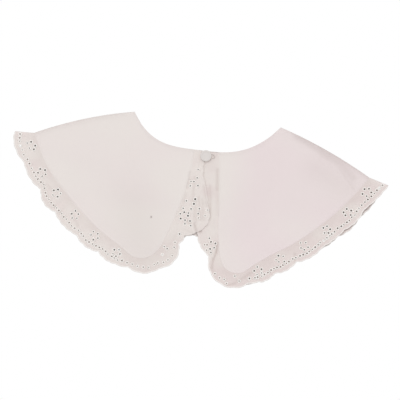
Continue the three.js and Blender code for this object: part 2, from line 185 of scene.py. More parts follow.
# The button's place beside the throat and its dish as a share of its thickness, the shank's waist, flare and
# seat in the button and the cloth, and the loop: its thread, and how far it drops to the cloth.
BUTTON_ASIDE = 2.6
BUTTON_BELOW = 4.8
DISH = 0.14
SHANK_WAIST = 1.05
SHANK_FLARE = 0.25
SHANK_SEAT = 0.3
LOOP_RADIUS = 0.3
LOOP_DROP = 1.4
LOOP_INSET = 0.5

# Cloth edges from the throat round the lobe to the shoulder fold: across is a share of the lobe's reach, and
# down is a share of its depth.
LEFT_EDGE = (
    # across, down
    (0.05, 0), (0.062, 0.274), (0.099, 0.514), (0.146, 0.744), (0.193, 0.913), (0.254, 0.991), (0.333, 1),
    (0.415, 0.926), (0.591, 0.759), (0.815, 0.452), (0.906, 0.291), (1, 0.029),
)
RIGHT_EDGE = (
    # across, down
    (0.088, 0), (0.12, 0.4), (0.149, 0.737), (0.171, 0.879), (0.205, 0.965), (0.256, 1), (0.315, 0.99),
    (0.369, 0.927), (0.47, 0.817), (0.61, 0.682), (0.811, 0.416), (0.935, 0.198), (1, 0.059),
)
LEFT_BACK_EDGE = (
    # across, down
    (0.001, 0.72), (0.03, 0.722), (0.065, 0.74), (0.105, 0.785), (0.15, 0.855), (0.2, 0.91), (0.262, 0.935),
    (0.335, 0.93), (0.405, 0.875), (0.58, 0.73), (0.795, 0.435), (0.89, 0.275), (1, 0.029),
)
RIGHT_BACK_EDGE = (
    # across, down
    (0.001, 0.698), (0.028, 0.7), (0.065, 0.72), (0.11, 0.775), (0.15, 0.855), (0.195, 0.91),
    (0.255, 0.935), (0.315, 0.935), (0.37, 0.88), (0.47, 0.78), (0.605, 0.66), (0.819, 0.421),
    (0.935, 0.196), (1, 0.059),
)

# Scallops of the front edgings: where one starts as a share of the edge, how far the lace stands out in its
# valley and at its crest as shares of the lace width, how far its ruffle lifts, and its eyelets: 0 for none,
# 1 for an arc of them, 2 for an arc and a flower and 3 for a flower.
LEFT_SCALLOPS = (
    # from, valley, crest, lift, eyelets
    (0, 0.41, 0.5, 0, 0), (0.082, 0.56, 0.92, 0.2, 0), (0.165, 1.2, 1.45, 0.4, 3),
    (0.28, 0.73, 0.76, 0.4, 0), (0.314, 0.66, 0.89, 0.9, 0), (0.392, 0.68, 0.69, 0.4, 1),
    (0.458, 0.53, 0.87, 0.7, 2), (0.56, 0.8, 0.99, 0.5, 2), (0.644, 0.89, 1.04, 0.8, 2),
    (0.745, 0.92, 1.08, 0.5, 2), (0.83, 0.81, 0.95, 0.7, 2), (0.91, 0.89, 1.1, 0.3, 2),
    (1, 0.87, 0.87, 0, 0),
)
RIGHT_SCALLOPS = (
    # from, valley, crest, lift, eyelets
    (0, 0.6, 0.75, 0, 0), (0.097, 0.73, 0.9, 0.1, 0), (0.194, 0.82, 0.95, 0.2, 0),
    (0.28, 0.93, 0.84, 0.5, 3), (0.344, 0.5, 0.7, 0.9, 0), (0.464, 0.57, 0.88, 1, 2),
    (0.554, 0.8, 0.94, 0.9, 2), (0.638, 0.79, 0.94, 0.4, 2), (0.73, 0.86, 0.89, 0.8, 2),
    (0.825, 0.84, 0.92, 0.5, 2), (0.905, 0.78, 0.91, 0.3, 2), (1, 0.94, 0.94, 0, 0),
)

# Eyelets of the edgings beside the throat, where the lace is gathered: the share of the edge, and in
# millimetres how far out they stand and the radius of their holes.
LEFT_THROAT_EYELETS = (
    # share, out, radius
    (0.064, 6.1, 0.55), (0.091, 6.8, 0.65), (0.107, 1.6, 0.55), (0.122, 2.2, 0.65), (0.105, 4.6, 0.65),
    (0.114, 9.5, 0.7), (0.157, 11.3, 0.95), (0.173, 11.9, 0.9), (0.173, 3.7, 0.65), (0.2, 3.5, 0.65),
    (0.192, 11.1, 0.7), (0.208, 10.2, 0.65), (0.181, 18.7, 0.65), (0.198, 19.5, 0.65), (0.21, 21.4, 0.65),
    (0.195, 26.6, 0.65), (0.175, 26.7, 0.55), (0.23, 14.7, 0.8), (0.245, 11.2, 0.65), (0.243, 17.2, 0.65),
    (0.282, 10.6, 0.8), (0.314, 10.1, 0.65), (0.329, 11.6, 0.65), (0.364, 5.8, 0.65), (0.343, 6.1, 0.65),
    (0.342, 2.6, 0.55), (0.364, 13.6, 0.65), (0.351, 14.2, 0.65), (0.376, 12.2, 0.65), (0.388, 9.4, 0.65),
)
RIGHT_THROAT_EYELETS = (
    # share, out, radius
    (0.288, 8.6, 0.65), (0.309, 13.6, 0.7), (0.326, 12, 0.65), (0.334, 8, 0.65), (0.39, 10.9, 0.7),
    (0.402, 10.4, 0.65), (0.412, 9.1, 0.65), (0.42, 11.7, 0.65), (0.435, 2.6, 0.65), (0.447, 7.5, 0.65),
)

# Sharp creases: a line from (x, y) to (x, y) in millimetres of the plan, how deep and how wide it is, and how
# strongly painted shade darkens it, from 0 to 1. Rows with no depth paint a broad darker patch of shade.
LEFT_CREASES = (
    # x, y, to x, to y, depth, spread, dark
    (4.6, -49.1, 7.9, -68.8, 0.5, 1.6, 0.2), (-2.6, -50, 0.6, -71.8, 0.4, 1.6, 0.2),
    (-10.2, -70.1, -4.6, -73.5, 0.3, 1.5, 0.4), (-0.6, -73.6, 2.2, -80.6, 0.5, 1.4, 0.45),
    (-9.5, -80.9, 1.5, -83.5, 0.1, 1.6, 0.1), (-16.6, -86, -22.4, -98, 0.3, 1.8, 0.15),
    (-30, -104, -24, -112, 0.3, 1.6, 0.15),
    (-120, -83, -116, -90, 0.3, 1.6, 0.15), (-151, -53, -146, -58, 0.3, 1.6, 0.12),
    (-64, -62, -46, -112, 0, 26, 0.1), (-45, -114, -17, -98, 0, 13, 0.1),
    (-6, -27.7, -4.7, -55.3, 0.35, 1.3, 0.22), (-11.2, -22.8, -12.2, -39.1, 0.3, 1.3, 0.18),
    (0.6, -47.1, 5.1, -69.2, 0.35, 1.3, 0.25), (-12.4, -45.1, -15.5, -61.6, 0.3, 1.5, 0.15),
    (4.4, -35, 9.4, -54.6, 0.3, 1.3, 0.2), (-2.1, -56, -1.5, -69, 0.3, 1.2, 0.2),
)
RIGHT_CREASES = (
    # x, y, to x, to y, depth, spread, dark
    (15.6, -17.5, 18, -37.4, 0.5, 1.7, 0.3), (18, -37.4, 21.4, -62, 0.3, 1.8, 0.12),
    (10.1, -34.3, 12.8, -52.1, 0.4, 1.4, 0.2), (12.8, -52.1, 13.5, -66.1, 0.4, 1.4, 0.25),
    (1.3, -73.7, 6, -80.2, 0.8, 1.6, 0.7), (24.5, -90, 24.8, -99.5, 0.6, 1.3, 0.6),
    (24.8, -99.5, 22.4, -107.6, 0.6, 1.3, 0.5), (22.4, -107.6, 22.3, -115.7, 0.5, 1.3, 0.4),
    (22.3, -115.7, 25.1, -120.5, 0.4, 1.3, 0.2), (36.2, -131.9, 45.9, -128.7, 0.5, 1.3, 0.25),
    (45.9, -128.7, 63.3, -114.4, 0.3, 1.4, 0.25), (102.8, -91.4, 104.3, -100.3, 0.4, 1.2, 0.3),
    (134.6, 2.1, 153.5, -20.7, 0.25, 2.6, 0.15), (90, 24.8, 115.3, 13.9, 0, 3.5, 0.16),
    (115.3, 13.9, 136.7, 3.4, 0, 4.5, 0.2), (136.7, 3.4, 151.4, -8.9, 0, 4.5, 0.2),
    (116, -4, 146, -18, 0, 15, 0.1),
)

# Soft folds of the lobes: a line from (across, down) to (across, down), rise and spread in millimetres.
LEFT_FOLDS = (
    # across, down, to across, to down, rise, spread
    (0.07, 0.3, 0.19, 0.84, 0.5, 8.4), (0.4, 0.86, 0.85, 0.34, 0.42, 9.8),
    (0.56, 0.5, 0.68, 0.38, -0.56, 16.8),
)
RIGHT_FOLDS = (
    # across, down, to across, to down, rise, spread
    (0.512, -0.235, 0.72, -0.045, -0.8, 4.8), (0.72, -0.045, 0.915, 0.175, -0.9, 4.4),
    (0.17, 0.16, 0.2, 0.86, 0.5, 8.4), (0.34, 0.86, 0.88, 0.24, 0.38, 9.8),
)

# A dark fleck on the left lobe: its place and its radius in millimetres of the plan.
FLECK = (-44.2, -72.2, 0.75)


def ease(a, b, x):
    """From 0 at a to 1 at b with level ends: 3t² - 2t³ of the clamped share t."""
    t = np.clip((x - a) / (b - a), 0, 1)
    return t * t * (3 - 2 * t)


def bell(x, rise, centre, spread):
    """A bell of that rise about a centre: rise times exp(-d²) of the distance d in spreads."""
    return rise * np.exp(-(((x - centre) / spread) ** 2))


def distances(points, centres):
    """Distances of every point of a grid from every centre."""
    return np.linalg.norm(points[..., None, :] - centres, axis=-1)


def wander(t, seed, waves=5, low=0.6, high=1.7):
    """A gentle random line: a mean of sines whose rates lie between low and high turns per unit of t."""
    rng = np.random.default_rng(seed)
    rates = rng.uniform(low, high, waves)
    phases = rng.uniform(0, 2 * math.pi, waves)
    t = np.asarray(t, float)[..., None]
    return np.sin(2 * math.pi * rates * t + phases).sum(-1) / math.sqrt(waves)


def rolling(x, y, seed, size, waves=7):
    """A gentle random surface: a mean of plane waves about size millimetres long, in random directions."""
    rng = np.random.default_rng(seed)
    angles = rng.uniform(0, math.pi, waves)
    rates = rng.uniform(0.6, 1.5, waves) / size
    phases = rng.uniform(0, 2 * math.pi, waves)
    along = x[..., None] * np.cos(angles) + y[..., None] * np.sin(angles)
    return np.sin(2 * math.pi * rates * along + phases).sum(-1) / math.sqrt(waves)


def collar_sides():
    """The two halves of the collar, with their sizes in millimetres from the panel's settings."""
    shape = bpy.context.scene.collar_shape
    left = SimpleNamespace(
        name="left", hand=-1, reach=shape.left_reach / MM, depth=shape.left_depth / MM, rise=30.0, curve=3.9,
        bow=3.6, tip_slope=0.03, edge=LEFT_EDGE, back_edge=LEFT_BACK_EDGE, scallops=LEFT_SCALLOPS, seed=11,
        eyelets=LEFT_THROAT_EYELETS, folds=LEFT_FOLDS, creases=LEFT_CREASES, lap=LAP_HEIGHT, cast=0.15,
        fold_dark=0.2,
    )
    right = SimpleNamespace(
        name="right", hand=1, reach=shape.right_reach / MM, depth=shape.right_depth / MM, rise=32.3,
        curve=2.8, bow=2.9, tip_slope=0.27, edge=RIGHT_EDGE, back_edge=RIGHT_BACK_EDGE,
        scallops=RIGHT_SCALLOPS, seed=23, eyelets=RIGHT_THROAT_EYELETS, folds=RIGHT_FOLDS,
        creases=RIGHT_CREASES, lap=0.0, cast=0.75, fold_dark=0.3,
    )
    return left, right


def solid_middle(node):
    """The middle of a solid's box and half its size, in millimetres of the frame."""
    low, high = np.array(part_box(node)) / MM
    return (low + high) / 2, (high - low) / 2


def throat():
    """The middle of the neck edge at the throat, in millimetres of the frame, from the button's solid."""
    centre, _ = solid_middle("button")
    return centre[:2] + (-BUTTON_ASIDE, BUTTON_BELOW)


def top_edge(side, out):
    """The upper outline at a distance out: a power curve round the neck, a bowed shoulder, a straight tip."""
    foot = -side.edge[-1][1] * side.depth
    neck = side.rise * (np.clip(out, 0, None) / NECK_HALF) ** side.curve
    t = (out - NECK_HALF) / (side.reach - NECK_HALF)
    shoulder = side.rise + (foot - side.rise) * t + 4 * side.bow * t * (1 - t)
    tip = foot - side.tip_slope * (out - side.reach)
    return np.where(out < NECK_HALF, neck, np.where(out > side.reach, tip, shoulder))


def turned(level, meeting, below, out):
    """A layer's height, brought in a quarter ellipse to the fold's line where there is a fold."""
    t = np.clip(1 - below / np.abs(level - meeting), 0, 1)
    curled = meeting + (level - meeting) * np.sqrt(1 - t * t)
    return level + (curled - level) * ease(NECK_HALF - NECK_TURN, NECK_HALF, out)


def line_folds(side, rows, out, y):
    """Sum of soft folds, each a bell of the distance from its line."""
    total = np.zeros_like(out)
    for across, down, to_across, to_down, rise, spread in rows:
        start = np.array([across * side.reach, -down * side.depth])
        run = np.array([to_across * side.reach, -to_down * side.depth]) - start
        t = np.clip(((out - start[0]) * run[0] + (y - start[1]) * run[1]) / (run @ run), 0, 1)
        total += bell(np.hypot(out - start[0] - t * run[0], y - start[1] - t * run[1]), rise, 0, spread)
    return total


def creases(side, x, y):
    """Sharp creases, each a narrow bell of the distance from its line: how deep they are and how dark their
    painted shade is.
    """
    deep, dark = np.zeros_like(x), np.zeros_like(x)
    for from_x, from_y, to_x, to_y, depth, spread, painted_shade in side.creases:
        run = np.array([to_x - from_x, to_y - from_y])
        t = np.clip(((x - from_x) * run[0] + (y - from_y) * run[1]) / (run @ run), 0, 1)
        near = bell(np.hypot(x - from_x - t * run[0], y - from_y - t * run[1]), 1, 0, spread)
        deep += depth * near
        dark = np.maximum(dark, painted_shade * near)
    return deep, dark


def lofts(side, out):
    """Height of the front layer's middle at the fold, lower towards the shoulder tip."""
    loft = 1 - (1 - TIP_LOFT) * ease(NECK_HALF, side.reach, out)
    return FRONT_LOW + (FRONT_HIGH - FRONT_LOW) * loft


def front_height(side, x, y):
    """Middle of the front layer: high by the neck and the fold, settling towards its edge, with its folds."""
    out = side.hand * x
    below = np.clip(top_edge(side, out) - y, 0, None)
    high = lofts(side, out)
    level = high + (FRONT_LOW - high) * ease(HOLLOW_PLATEAU, HOLLOW_PLATEAU + SETTLE, below)
    level = level + line_folds(side, side.folds, out, y)
    level = level + WAVE_RISE * rolling(out, y, side.seed, WAVE_LENGTH) * ease(4.0, 24.0, below)
    level = level - creases(side, x, y)[0] * ease(0.5, 6.0, below)
    meeting = (BACK_MIDDLE + high) / 2
    return turned(level, meeting, below, out)


def back_height(side, x, y, level):
    """Middle of the back layer: flat, a little raised at the foot of its seam, and turned up to the fold."""
    out = side.hand * x
    level = level + bell(x, FOOT_LIFT, 0, FOOT_SPREAD) * ease(FOOT_START, FOOT_END, y)
    below = np.clip(top_edge(side, out) - y, 0, None)
    meeting = (BACK_MIDDLE + lofts(side, out)) / 2
    return turned(level, meeting, below, out)


def smooth_curve(points, steps=80):
    """Centripetal Catmull-Rom curve: cubic spans whose end slopes weigh the neighbours by root distance."""
    p = np.vstack([2 * points[0] - points[1], points, 2 * points[-1] - points[-2]])
    gap = np.sqrt(np.linalg.norm(np.diff(p, axis=0), axis=1))[:, None]
    a, b, c, d = p[:-3], p[1:-2], p[2:-1], p[3:]
    first, own, last = gap[:-2], gap[1:-1], gap[2:]
    slope = ((b - a) / first - (c - a) / (first + own) + (c - b) / own) * own
    leave = ((c - b) / own - (d - b) / (own + last) + (d - c) / last) * own
    t = (np.arange(steps) / steps)[None, :, None]
    b, c, slope, leave = b[:, None], c[:, None], slope[:, None], leave[:, None]
    cubic = b + t * slope + t**2 * (3 * (c - b) - 2 * slope - leave) + t**3 * (2 * (b - c) + slope + leave)
    return np.vstack([cubic.reshape(-1, 2), points[-1:]])


def edge_line(side, table):
    """The cloth edge as a function of its share of length: points, outward directions and the length."""
    rows = np.array(table, float)
    fine = smooth_curve(rows * [side.hand * side.reach, -side.depth])
    run = np.concatenate([[0], np.cumsum(np.linalg.norm(np.diff(fine, axis=0), axis=1))])
    slope = np.gradient(fine, run, axis=0)
    slope /= np.linalg.norm(slope, axis=1)[:, None]

    def at(share):
        goal = np.clip(share, 0, 1) * run[-1]
        point = np.stack([np.interp(goal, run, fine[:, k]) for k in (0, 1)], -1)
        way = np.stack([np.interp(goal, run, slope[:, k]) for k in (0, 1)], -1)
        way /= np.linalg.norm(way, axis=-1, keepdims=True)
        outward = -side.hand * np.stack([-way[..., 1], way[..., 0]], -1)
        return point, outward

    return SimpleNamespace(at=at, length=float(run[-1]))


def spine_line(side, start):
    """The neck edge and the shoulder fold as a function of their share of length."""
    out = np.linspace(start, side.reach, 600)
    fine = np.stack([side.hand * out, top_edge(side, out)], -1)
    run = np.concatenate([[0], np.cumsum(np.linalg.norm(np.diff(fine, axis=0), axis=1))])
    return lambda share: np.stack([np.interp(share * run[-1], run, fine[:, k]) for k in (0, 1)], -1)


def lobe_grid(side, edge, shares, across, seam_foot=False):
    """Plan of a lobe and the distances from both ends of its rulings.

    Each ruling is a quadratic curve that leaves the neck edge or the fold and meets the cloth edge squarely.
    """
    point, outward = edge.at(shares)
    if seam_foot:
        outward[0] = (0, -1)
    start = spine_line(side, side.hand * point[0, 0])(shares)
    span = np.linalg.norm(point - start, axis=1)[:, None]
    bend = point - outward * np.minimum(EDGE_TURN, span * EDGE_TURN_SHARE)
    turns = (1 - np.cos(np.linspace(0, math.pi / 2, TURN_COLUMNS))) * FOLD_RADIUS * TURN_REACH
    near = np.minimum(turns / np.maximum(span, FOLD_TURN), 0.2 * turns / turns[-1])
    hem = np.array(HEM_COLUMNS)
    far = 1 - np.minimum(hem / np.maximum(span, hem[0]), 0.4 * hem / hem[0])
    middle = near[:, -1:] + (far[:, :1] - near[:, -1:]) * np.linspace(0, 1, across + 1)[1:-1]
    v = np.hstack([near, middle, far])
    plan = (
        (1 - v[..., None]) ** 2 * start[:, None]
        + 2 * (v * (1 - v))[..., None] * bend[:, None]
        + v[..., None] ** 2 * point[:, None]
    )
    return plan, v * span, (1 - v) * span


def surface_normals(points):
    """Unit normals of a grid of points, from the cross product of its differences, upwards on the whole."""
    normal = np.cross(np.gradient(points, axis=0), np.gradient(points, axis=1))
    size = np.linalg.norm(normal, axis=-1, keepdims=True)
    normal = normal / np.maximum(size, 1e-12)
    return normal * (1 if normal[..., 2].sum() > 0 else -1)


def wall_faces(keep, up):
    """Quads of a closed wall over a grid: the kept cells on both faces, and a strip along every free edge."""
    rows, columns = keep.shape
    count = (rows + 1) * (columns + 1)
    at = np.arange(count).reshape(rows + 1, columns + 1)
    a, b, c, d = at[:-1, :-1], at[1:, :-1], at[1:, 1:], at[:-1, 1:]
    top = np.stack([a, b, c, d], -1)[keep]
    parts = [top, top[:, ::-1] + count]
    held = np.pad(keep, 1)
    inner = held[1:-1, 1:-1]
    for start, end, beyond in (
        (a, b, held[1:-1, :-2]), (b, c, held[2:, 1:-1]), (c, d, held[1:-1, 2:]), (d, a, held[:-2, 1:-1]),
    ):
        free = inner & ~beyond
        p, q = start[free], end[free]
        parts.append(np.stack([q, p, p + count, q + count], -1))
    faces = np.vstack(parts)
    return faces if up else faces[:, ::-1]


def ring_faces(index):
    """Quads between neighbouring rows of a grid of vertices whose rows are closed rings."""
    following = np.roll(index, -1, axis=1)
    return np.stack([index[:-1], following[:-1], following[1:], index[1:]], -1).reshape(-1, 4)


def cap_faces(ring):
    """Quads in strips across a ring of vertices, each between two neighbours and the pair opposite them."""
    count = len(ring)
    k = np.arange(count // 2 - 1)
    return np.stack([ring[k], ring[k + 1], ring[count - 2 - k], ring[count - 1 - k]], -1)


def capped_faces(index):
    """Quads of a tube over a grid of vertices whose rows are rings, closed across its first and last ring."""
    return np.vstack([ring_faces(index), cap_faces(index[0])[:, ::-1], cap_faces(index[-1])])


def make_piece(name, points, faces, material, attributes=None, uv=None):
    """Puts arrays of points in millimetres of the plan and quads into a mesh, in metres of the frame."""
    shift = throat()
    place = points.reshape(-1, 3).copy()
    place[:, :2] += shift
    place *= MM
    used, inverse = np.unique(faces, return_inverse=True)
    faces = inverse.reshape(faces.shape)
    mesh = bpy.data.meshes.new(name)
    mesh.vertices.add(len(used))
    mesh.vertices.foreach_set("co", place[used].ravel())
    mesh.loops.add(faces.size)
    mesh.loops.foreach_set("vertex_index", faces.ravel().astype(np.int32))
    mesh.polygons.add(len(faces))
    mesh.polygons.foreach_set("loop_start", np.arange(0, faces.size, faces.shape[1], dtype=np.int32))
    mesh.update(calc_edges=True)
    mesh.validate()
    mesh.polygons.foreach_set("use_smooth", np.ones(len(mesh.polygons), bool))
    for key, values in (attributes or {}).items():
        layer = mesh.attributes.new(key, "FLOAT", "POINT")
        layer.data.foreach_set("value", values.reshape(-1)[used].astype(np.float32))
    if uv is not None:
        layer = mesh.uv_layers.new(name="thread_run")
        layer.data.foreach_set("uv", uv.reshape(-1, 2)[used][faces.ravel()].ravel().astype(np.float32))
    mesh.materials.append(material)
    piece = bpy.data.objects.new(name, mesh)
    bpy.context.scene.collection.objects.link(piece)
    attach(piece, "root")
    return piece


def both_faces(middle, thickness):
    """The two faces of a wall: its middle moved out by half its thickness each way along its normals."""
    half = surface_normals(middle) * (np.asarray(thickness)[..., None] / 2)
    walls = np.stack([middle + half, middle - half])
    walls[..., 2] = np.maximum(walls[..., 2], FLOOR_GAP)
    return walls


def tones(shade, cast, stain_and_hole_shade):
    """The attributes that the weave reads, given to both faces of a wall."""
    layers = {"shade": np.clip(shade, 0, 1), "cast": np.clip(cast, 0, 1), "stain_and_hole_shade": stain_and_hole_shade}
    return {key: np.stack([values, values]) for key, values in layers.items()}


def grid_faces_up(points):
    """Whether a grid's cells, taken in order, face upwards on the whole."""
    across = np.cross(np.diff(points, axis=0)[:, :-1], np.diff(points, axis=1)[:-1])
    return across[..., 2].sum() > 0


# Materials

def linear(text):
    """An sRGB hex colour as linear red, green and blue."""
    srgb = np.array([int(text[i : i + 2], 16) for i in (1, 3, 5)]) / 255
    return tuple(np.where(srgb <= 0.04045, srgb / 12.92, ((srgb + 0.055) / 1.055) ** 2.4))


def add(tree, kind, settings=None, inputs=None):
    """Adds a node with its settings; an input is a value, or an output socket to link from."""
    node = tree.nodes.new(kind)
    for key, value in (settings or {}).items():
        setattr(node, key, value)
    for key, value in (inputs or {}).items():
        socket = node.inputs[key]
        if isinstance(value, bpy.types.NodeSocket):
            tree.links.new(value, socket)
        else:
            socket.default_value = value
    return node


def start_material(name, look):
    """An empty node material with its output and a principled shader whose inputs have the look's values."""
    material = bpy.data.materials.new(name)
    material.use_nodes = True
    tree = material.node_tree
    tree.nodes.clear()
    shader = add(tree, "ShaderNodeBsdfPrincipled", None, look)
    add(tree, "ShaderNodeOutputMaterial", None, {"Surface": shader.outputs["BSDF"]})
    return material, tree, shader


def wave_scale(spacing):
    """The scale of wave bands that lie that far apart: they repeat every 2 pi / (20 x scale)."""
    return 2 * math.pi / 20 / spacing


def opaque(colour):
    """A colour with full alpha, as a node's socket takes it."""
    return (*colour, 1.0)


def two_toned(tree, shader, share, first, second, height, strength, depth):
    """A tone between two colours by a share, and a relief from a height, on the shader."""
    tone = add(tree, "ShaderNodeMix", {"data_type": "RGBA"}, {
        "Factor": share, "A": opaque(first), "B": opaque(second),
    })
    bump = add(tree, "ShaderNodeBump", None, {"Strength": strength, "Distance": depth, "Height": height})
    tree.links.new(tone.outputs["Result"], shader.inputs["Base Color"])
    tree.links.new(bump.outputs["Normal"], shader.inputs["Normal"])


def woven(tree, shader, settings, relief, mottle):
    """Plain weave: two crossed wave bands at the thread pitch, slubs, and a slow drift between two tones."""
    pitch = settings.thread_pitch
    coords = add(tree, "ShaderNodeTexCoord").outputs["Object"]
    drift = add(tree, "ShaderNodeTexNoise", None, {"Vector": coords, "Scale": 1 / mottle, "Detail": 2.0})
    tone_attributes = {
        name: add(tree, "ShaderNodeAttribute", {"attribute_name": name}).outputs["Fac"]
        for name in ("cast", "shade", "stain_and_hole_shade")
    }
    drifted = add(tree, "ShaderNodeMath", {"operation": "MULTIPLY_ADD", "use_clamp": True}, {
        0: drift.outputs["Fac"], 1: 0.3, 2: tone_attributes["cast"],
    })
    # The tone drifts to the cast, then takes the painted shade of the shade attribute, then the dark colour
    # of the real fleck and of the painted shade in uncut eyelets.
    tone = opaque(settings.colour)
    for factor, colour in (
        (drifted.outputs["Value"], settings.cast), (tone_attributes["shade"], settings.shade),
        (tone_attributes["stain_and_hole_shade"], linear(STAIN_AND_HOLE_SHADE_COLOUR)),
    ):
        tone = add(tree, "ShaderNodeMix", {"data_type": "RGBA"}, {
            "Factor": factor, "A": tone, "B": opaque(colour),
        }).outputs["Result"]
    bands = [
        add(tree, "ShaderNodeTexWave", {"bands_direction": way}, {
            "Vector": coords, "Scale": wave_scale(pitch), "Distortion": 0.6, "Detail": 1.0,
            "Detail Scale": 0.5,
        }).outputs["Fac"]
        for way in ("X", "Y")
    ]
    weave = add(tree, "ShaderNodeMath", {"operation": "ADD"}, {0: bands[0], 1: bands[1]})
    slub = add(tree, "ShaderNodeTexNoise", None, {"Vector": coords, "Scale": 0.25 / pitch, "Detail": 3.0})
    height = add(tree, "ShaderNodeMath", {"operation": "MULTIPLY_ADD"}, {
        0: slub.outputs["Fac"], 1: 1.5, 2: weave.outputs["Value"],
    })
    bump = add(tree, "ShaderNodeBump", None, {
        "Strength": relief, "Distance": 0.00012, "Height": height.outputs["Value"],
    })
    tree.links.new(tone, shader.inputs["Base Color"])
    tree.links.new(bump.outputs["Normal"], shader.inputs["Normal"])


def cotton_lawn(settings):
    """Washed cotton lawn, plain woven: matt, faintly fuzzy, an off-white that drifts from cream to pink."""
    material, tree, shader = start_material("washed_cotton_lawn", {
        "Roughness": 0.92, "Sheen Weight": 0.12, "Specular IOR Level": 0.25,
    })
    woven(tree, shader, settings, relief=0.35, mottle=0.07)
    return material


def eyelet_batiste(settings):
    """Bleached cotton batiste of the edging: thinner than the lobes and greyer, with a finer thread."""
    material, tree, shader = start_material("embroidered_batiste", {
        "Roughness": 0.94, "Sheen Weight": 0.1, "Specular IOR Level": 0.22,
    })
    woven(tree, shader, settings, relief=0.4, mottle=0.03)
    return material


def satin_stitch(settings):
    """Mercerised embroidery thread in satin stitch: lighter and silkier than the ground, and ribbed."""
    material, tree, shader = start_material("satin_stitch_thread", {
        "Roughness": 0.7, "Sheen Weight": 0.2, "Specular IOR Level": 0.35,
    })
    run = add(tree, "ShaderNodeUVMap", {"uv_map": "thread_run"}).outputs["UV"]
    ribs = add(tree, "ShaderNodeTexWave", {"bands_direction": "X"}, {
        "Vector": run, "Scale": wave_scale(STITCH_SPACING), "Distortion": 0.8, "Detail": 1.0,
    })
    coords = add(tree, "ShaderNodeTexCoord").outputs["Object"]
    # The tone drifts over about 17 mm.
    drift = add(tree, "ShaderNodeTexNoise", None, {"Vector": coords, "Scale": 60.0, "Detail": 2.0})
    share, height = drift.outputs["Fac"], ribs.outputs["Fac"]
    two_toned(tree, shader, share, settings.thread_colour, settings.thread_tint, height, 0.5, 0.0001)
    return material


def pearly_button(settings):
    """Cast polyester button with a pearly swirl: smooth, satin, pale grey with faint warmer clouds."""
    material, tree, shader = start_material("cast_polyester_pearl", {
        "Roughness": 0.5, "Coat Weight": 0.1, "Coat Roughness": 0.3,
    })
    coords = add(tree, "ShaderNodeTexCoord").outputs["Object"]
    # The clouds are about 4 mm wide.
    cloud = add(tree, "ShaderNodeTexNoise", None, {
        "Vector": coords, "Scale": 260.0, "Detail": 3.0, "Distortion": 1.6,
    }).outputs["Fac"]
    two_toned(tree, shader, cloud, settings.colour, settings.cloud_colour, cloud, 0.1, 0.0001)
    return material


def twisted_thread(settings):
    """Two-ply cotton sewing thread of the loop and the shank: matt, with the twist of its plies."""
    material, tree, shader = start_material("twisted_cotton_thread", {
        "Roughness": 0.85, "Specular IOR Level": 0.25,
    })
    run = add(tree, "ShaderNodeUVMap", {"uv_map": "thread_run"}).outputs["UV"]
    twist = add(tree, "ShaderNodeTexWave", {"bands_direction": "DIAGONAL"}, {
        "Vector": run, "Scale": wave_scale(PLY_SPACING),
    }).outputs["Fac"]
    # The thread shade in the grooves between the plies is painted shade.
    two_toned(tree, shader, twist, settings.thread_shade, settings.thread_colour, twist, 0.6, 0.0002)
    return material


def material_once(maker, name, settings):
    """The material of that name, made the first time that it is asked for."""
    return bpy.data.materials.get(name) or maker(settings)


# Cloth

def pucker(along, inward, seed):
    """Small puckers that a seam leaves in the cloth beside it: a random line that fades from the edge."""
    line = PUCKER_RISE * wander(along / PUCKER_LENGTH, seed)
    return line * np.exp(-inward / PUCKER_FADE) * ease(0.3, 2.5, inward)


def neck_relief(out, below):
    """A rolled neck edge: a thin raised roll with a stitch line under it, fading where the fold starts."""
    open_part = 1 - ease(NECK_HALF - NECK_TURN, NECK_HALF, out)
    return open_part * (bell(below, *NECK_ROLL) + bell(below, *NECK_STITCHES))


def lobe_piece(side, layer, material):
    """One lobe of cloth as a closed wall over the plan of its rulings, thinner at its rounded edges."""
    front = layer == "front"
    stations, across = LOBE_GRIDS[layer]
    edge = edge_line(side, side.edge if front else side.back_edge)
    shares = np.linspace(0, 1 - FOLD_GAP / edge.length, stations)
    plan, outward_run, inward = lobe_grid(side, edge, shares, across, seam_foot=not front)
    x, y = plan[..., 0], plan[..., 1]
    out = side.hand * x
    below = np.clip(top_edge(side, out) - y, 0, None)
    if front:
        puckers = pucker(shares[:, None] * edge.length, inward, side.seed + 1)
        z = front_height(side, x, y) + puckers + bell(inward, *HEM_PUFF) + neck_relief(out, below)
        # Painted shade darkens the cloth along its creases.
        painted_shade = creases(side, x, y)[1]
        stain_and_hole_shade = bell(np.hypot(x - FLECK[0], y - FLECK[1]), 1, 0, FLECK[2])
    else:
        # The back cloth is evenly darkened with painted shade, as it lies under the front layer.
        z, painted_shade, stain_and_hole_shade = back_height(side, x, y, BACK_MIDDLE), BACK_CLOTH_SHADE, 0 * x
    middle = np.stack([x, y, z], -1)
    ends = (0.15 + 0.85 * ease(-0.4, 4.6, inward)) * (0.35 + 0.65 * ease(0, 1.0, outward_run))
    walls = both_faces(middle, bpy.context.scene.collar_cloth.thickness / MM * ends)
    # Painted shade: a dark line along the shoulder fold, and darker cloth beside the hem, the neck edge and
    # the fold.
    fold = side.fold_dark * np.exp(-below / FOLD_SHADE_FADE) * ease(NECK_HALF - 4, NECK_HALF + 30, out)
    hem = HEM_SHADE * np.exp(-inward / EDGE_FADE) + NECK_SHADE * np.exp(-outward_run / EDGE_FADE)
    cast = side.cast * (0.1 + 0.9 * ease(*CLOTH_CAST_RUN, out)) + CLOTH_DRIFT * rolling(x, y, 5, 70.0)
    faces = wall_faces(np.ones((stations - 1, x.shape[1] - 1), bool), grid_faces_up(middle))
    layers = tones(hem + fold + painted_shade, cast, stain_and_hole_shade)
    piece = make_piece(f"{side.name}_{layer}_cloth", walls, faces, material, layers)
    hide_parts(f"{side.name}_{layer}_panel")
    return piece


# Edging

